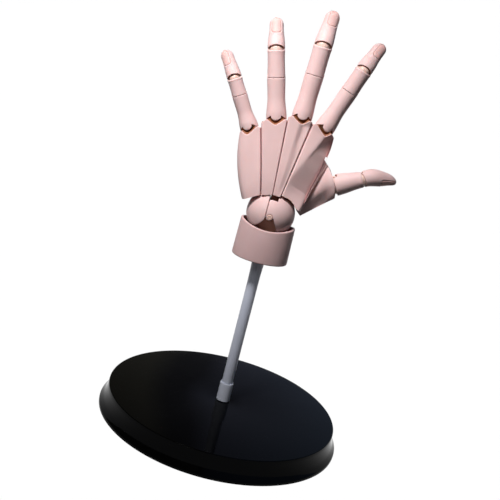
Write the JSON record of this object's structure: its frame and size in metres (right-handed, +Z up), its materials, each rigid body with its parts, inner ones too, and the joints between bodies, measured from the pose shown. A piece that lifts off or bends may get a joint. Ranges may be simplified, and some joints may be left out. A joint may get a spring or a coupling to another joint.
{
  "type": "artist hand model",
  "caption": "Posable life-size left hand of pale plastic pieces with jointed fingers, thumb and wrist, on a straight post and a round black base, for drawing reference.",
  "frame": {"origin": "middle of the base, on the floor", "axes": "+Z up along the post, -Y out of the back of the hand, +X towards the thumb"},
  "size_m": [0.2008, 0.202, 0.3437],
  "materials": {
    "hand_plastic": "smooth satin, pale pink",
    "joint_plastic": "smooth satin, pale peach",
    "inner_plastic": "satin, darker pink brown",
    "base_black": "high gloss black",
    "post_grey": "smooth light grey",
    "pin_steel": "plain steel"
  },
  "bodies": {
    "base": {"base_plate": "base_black", "base_screw": "pin_steel", "post_sleeve": "post_grey", "post": "post_grey"},
    "forearm": {"forearm_cuff": "hand_plastic", "wrist_stem": "inner_plastic"},
    "wrist": {"wrist_ball_left": "hand_plastic", "wrist_ball_right": "hand_plastic", "wrist_pin_back": "joint_plastic", "wrist_pin_palm": "joint_plastic", "wrist_axle": "pin_steel"},
    "palm": {"palm_core": "inner_plastic", "palm_axle": "pin_steel", "middle_metacarpal": "hand_plastic", "index_metacarpal": "hand_plastic", "middle_knuckle_pin": "pin_steel", "index_knuckle_pin": "pin_steel", "thumb_axle": "pin_steel"},
    "ring_metacarpal": {"ring_metacarpal": "hand_plastic", "ring_knuckle_pin": "pin_steel"},
    "little_metacarpal": {"little_metacarpal": "hand_plastic", "little_knuckle_pin": "pin_steel"},
    "little_knuckle": {"little_knuckle_ball": "joint_plastic"},
    "little_proximal": {"little_proximal": "hand_plastic"},
    "little_middle": {"little_middle": "hand_plastic", "little_pip_barrel": "joint_plastic"},
    "little_distal": {"little_distal": "hand_plastic", "little_dip_barrel": "joint_plastic"},
    "ring_knuckle": {"ring_knuckle_ball": "joint_plastic"},
    "ring_proximal": {"ring_proximal": "hand_plastic"},
    "ring_middle": {"ring_middle": "hand_plastic", "ring_pip_barrel": "joint_plastic"},
    "ring_distal": {"ring_distal": "hand_plastic", "ring_dip_barrel": "joint_plastic"},
    "middle_knuckle": {"middle_knuckle_ball": "joint_plastic"},
    "middle_proximal": {"middle_proximal": "hand_plastic"},
    "middle_middle": {"middle_middle": "hand_plastic", "middle_pip_barrel": "joint_plastic"},
    "middle_distal": {"middle_distal": "hand_plastic", "middle_dip_barrel": "joint_plastic"},
    "index_knuckle": {"index_knuckle_ball": "joint_plastic"},
    "index_proximal": {"index_proximal": "hand_plastic"},
    "index_middle": {"index_middle": "hand_plastic", "index_pip_barrel": "joint_plastic"},
    "index_distal": {"index_distal": "hand_plastic", "index_dip_barrel": "joint_plastic"},
    "thumb_base": {"thumb_base": "hand_plastic"},
    "thumb_proximal": {"thumb_proximal": "hand_plastic", "thumb_mcp_barrel": "joint_plastic"},
    "thumb_distal": {"thumb_distal": "hand_plastic", "thumb_ip_barrel": "joint_plastic"}
  },
  "joints": [
    {"name": "cuff_swivel", "type": "hinge", "parent": "base", "child": "forearm", "pos_m": [0, 0, 0.15], "axis": [0, 0, 1], "range_deg": [-90, 90]},
    {"name": "wrist_sideways", "type": "hinge", "parent": "forearm", "child": "wrist", "pos_m": [0, 0, 0.183], "axis": [0, 1, 0], "range_deg": [-15, 15]},
    {"name": "wrist_bend", "type": "hinge", "parent": "wrist", "child": "palm", "pos_m": [0, 0, 0.183], "axis": [-1, 0, 0], "range_deg": [-30, 34]},
    {"name": "ring_palm_fold", "type": "hinge", "parent": "palm", "child": "ring_metacarpal", "pos_m": [0, 0, 0.206], "axis": [-1, 0, 0], "range_deg": [0, 3]},
    {"name": "little_palm_fold", "type": "hinge", "parent": "palm", "child": "little_metacarpal", "pos_m": [0, 0, 0.206], "axis": [-1, 0, 0], "range_deg": [0, 5]},
    {"name": "little_spread", "type": "hinge", "parent": "little_metacarpal", "child": "little_knuckle", "pos_m": [-0.02816, 0.0022, 0.23622], "axis": [0, 1, 0], "range_deg": [-5, 5]},
    {"name": "little_knuckle_bend", "type": "hinge", "parent": "little_knuckle", "child": "little_proximal", "pos_m": [-0.033, 0.0022, 0.2444], "axis": [-0.8607, 0, -0.509], "range_deg": [-12, 70]},
    {"name": "little_middle_bend", "type": "hinge", "parent": "little_proximal", "child": "little_middle", "pos_m": [-0.04568, 0.0022, 0.26583], "axis": [-0.8607, 0, -0.509], "range_deg": [0, 76]},
    {"name": "little_end_bend", "type": "hinge", "parent": "little_middle", "child": "little_distal", "pos_m": [-0.0525, 0.0022, 0.27737], "axis": [-0.8607, 0, -0.509], "range_deg": [-20, 20]},
    {"name": "ring_spread", "type": "hinge", "parent": "ring_metacarpal", "child": "ring_knuckle", "pos_m": [-0.01185, 0.0006, 0.24759], "axis": [0, 1, 0], "range_deg": [-3, 4]},
    {"name": "ring_knuckle_bend", "type": "hinge", "parent": "ring_knuckle", "child": "ring_proximal", "pos_m": [-0.0142, 0.0006, 0.2568], "axis": [-0.969, 0, -0.247], "range_deg": [-12, 70]},
    {"name": "ring_middle_bend", "type": "hinge", "parent": "ring_proximal", "child": "ring_middle", "pos_m": [-0.02156, 0.0006, 0.28568], "axis": [-0.969, 0, -0.247], "range_deg": [0, 76]},
    {"name": "ring_end_bend", "type": "hinge", "parent": "ring_middle", "child": "ring_distal", "pos_m": [-0.0267, 0.0006, 0.30583], "axis": [-0.969, 0, -0.247], "range_deg": [-20, 30]},
    {"name": "middle_spread", "type": "hinge", "parent": "palm", "child": "middle_knuckle", "pos_m": [0.00455, 0, 0.25271], "axis": [0, 1, 0], "range_deg": [-4, 4]},
    {"name": "middle_knuckle_bend", "type": "hinge", "parent": "middle_knuckle", "child": "middle_proximal", "pos_m": [0.0049, 0, 0.2622], "axis": [-0.9993, 0, 0.0366], "range_deg": [-12, 70]},
    {"name": "middle_middle_bend", "type": "hinge", "parent": "middle_proximal", "child": "middle_middle", "pos_m": [0.00608, 0, 0.29438], "axis": [-0.9993, 0, 0.0366], "range_deg": [0, 76]},
    {"name": "middle_end_bend", "type": "hinge", "parent": "middle_middle", "child": "middle_distal", "pos_m": [0.00688, 0, 0.31626], "axis": [-0.9993, 0, 0.0366], "range_deg": [-20, 30]},
    {"name": "index_spread", "type": "hinge", "parent": "palm", "child": "index_knuckle", "pos_m": [0.02091, 0.0008, 0.24945], "axis": [0, -1, 0], "range_deg": [-5, 5]},
    {"name": "index_knuckle_bend", "type": "hinge", "parent": "index_knuckle", "child": "index_proximal", "pos_m": [0.0241, 0.0008, 0.2584], "axis": [-0.9421, 0, 0.3355], "range_deg": [-12, 70]},
    {"name": "index_middle_bend", "type": "hinge", "parent": "index_proximal", "child": "index_middle", "pos_m": [0.03483, 0.0008, 0.28855], "axis": [-0.9421, 0, 0.3355], "range_deg": [0, 76]},
    {"name": "index_end_bend", "type": "hinge", "parent": "index_middle", "child": "index_distal", "pos_m": [0.04117, 0.0008, 0.30635], "axis": [-0.9421, 0, 0.3355], "range_deg": [-20, 30]},
    {"name": "thumb_turn", "type": "hinge", "parent": "palm", "child": "thumb_base", "pos_m": [0.0206, 0.0046, 0.19], "axis": [-0.1903, 0, -0.9817], "range_deg": [-33, 3]},
    {"name": "thumb_knuckle_bend", "type": "hinge", "parent": "thumb_base", "child": "thumb_proximal", "pos_m": [0.0436, 0.0032, 0.2166], "axis": [-0.4208, -0.342, 0.8402], "range_deg": [-3, 38]},
    {"name": "thumb_end_bend", "type": "hinge", "parent": "thumb_proximal", "child": "thumb_distal", "pos_m": [0.06291, 0.0032, 0.22627], "axis": [-0.4208, -0.342, 0.8402], "range_deg": [-12, 50]}
  ]
}
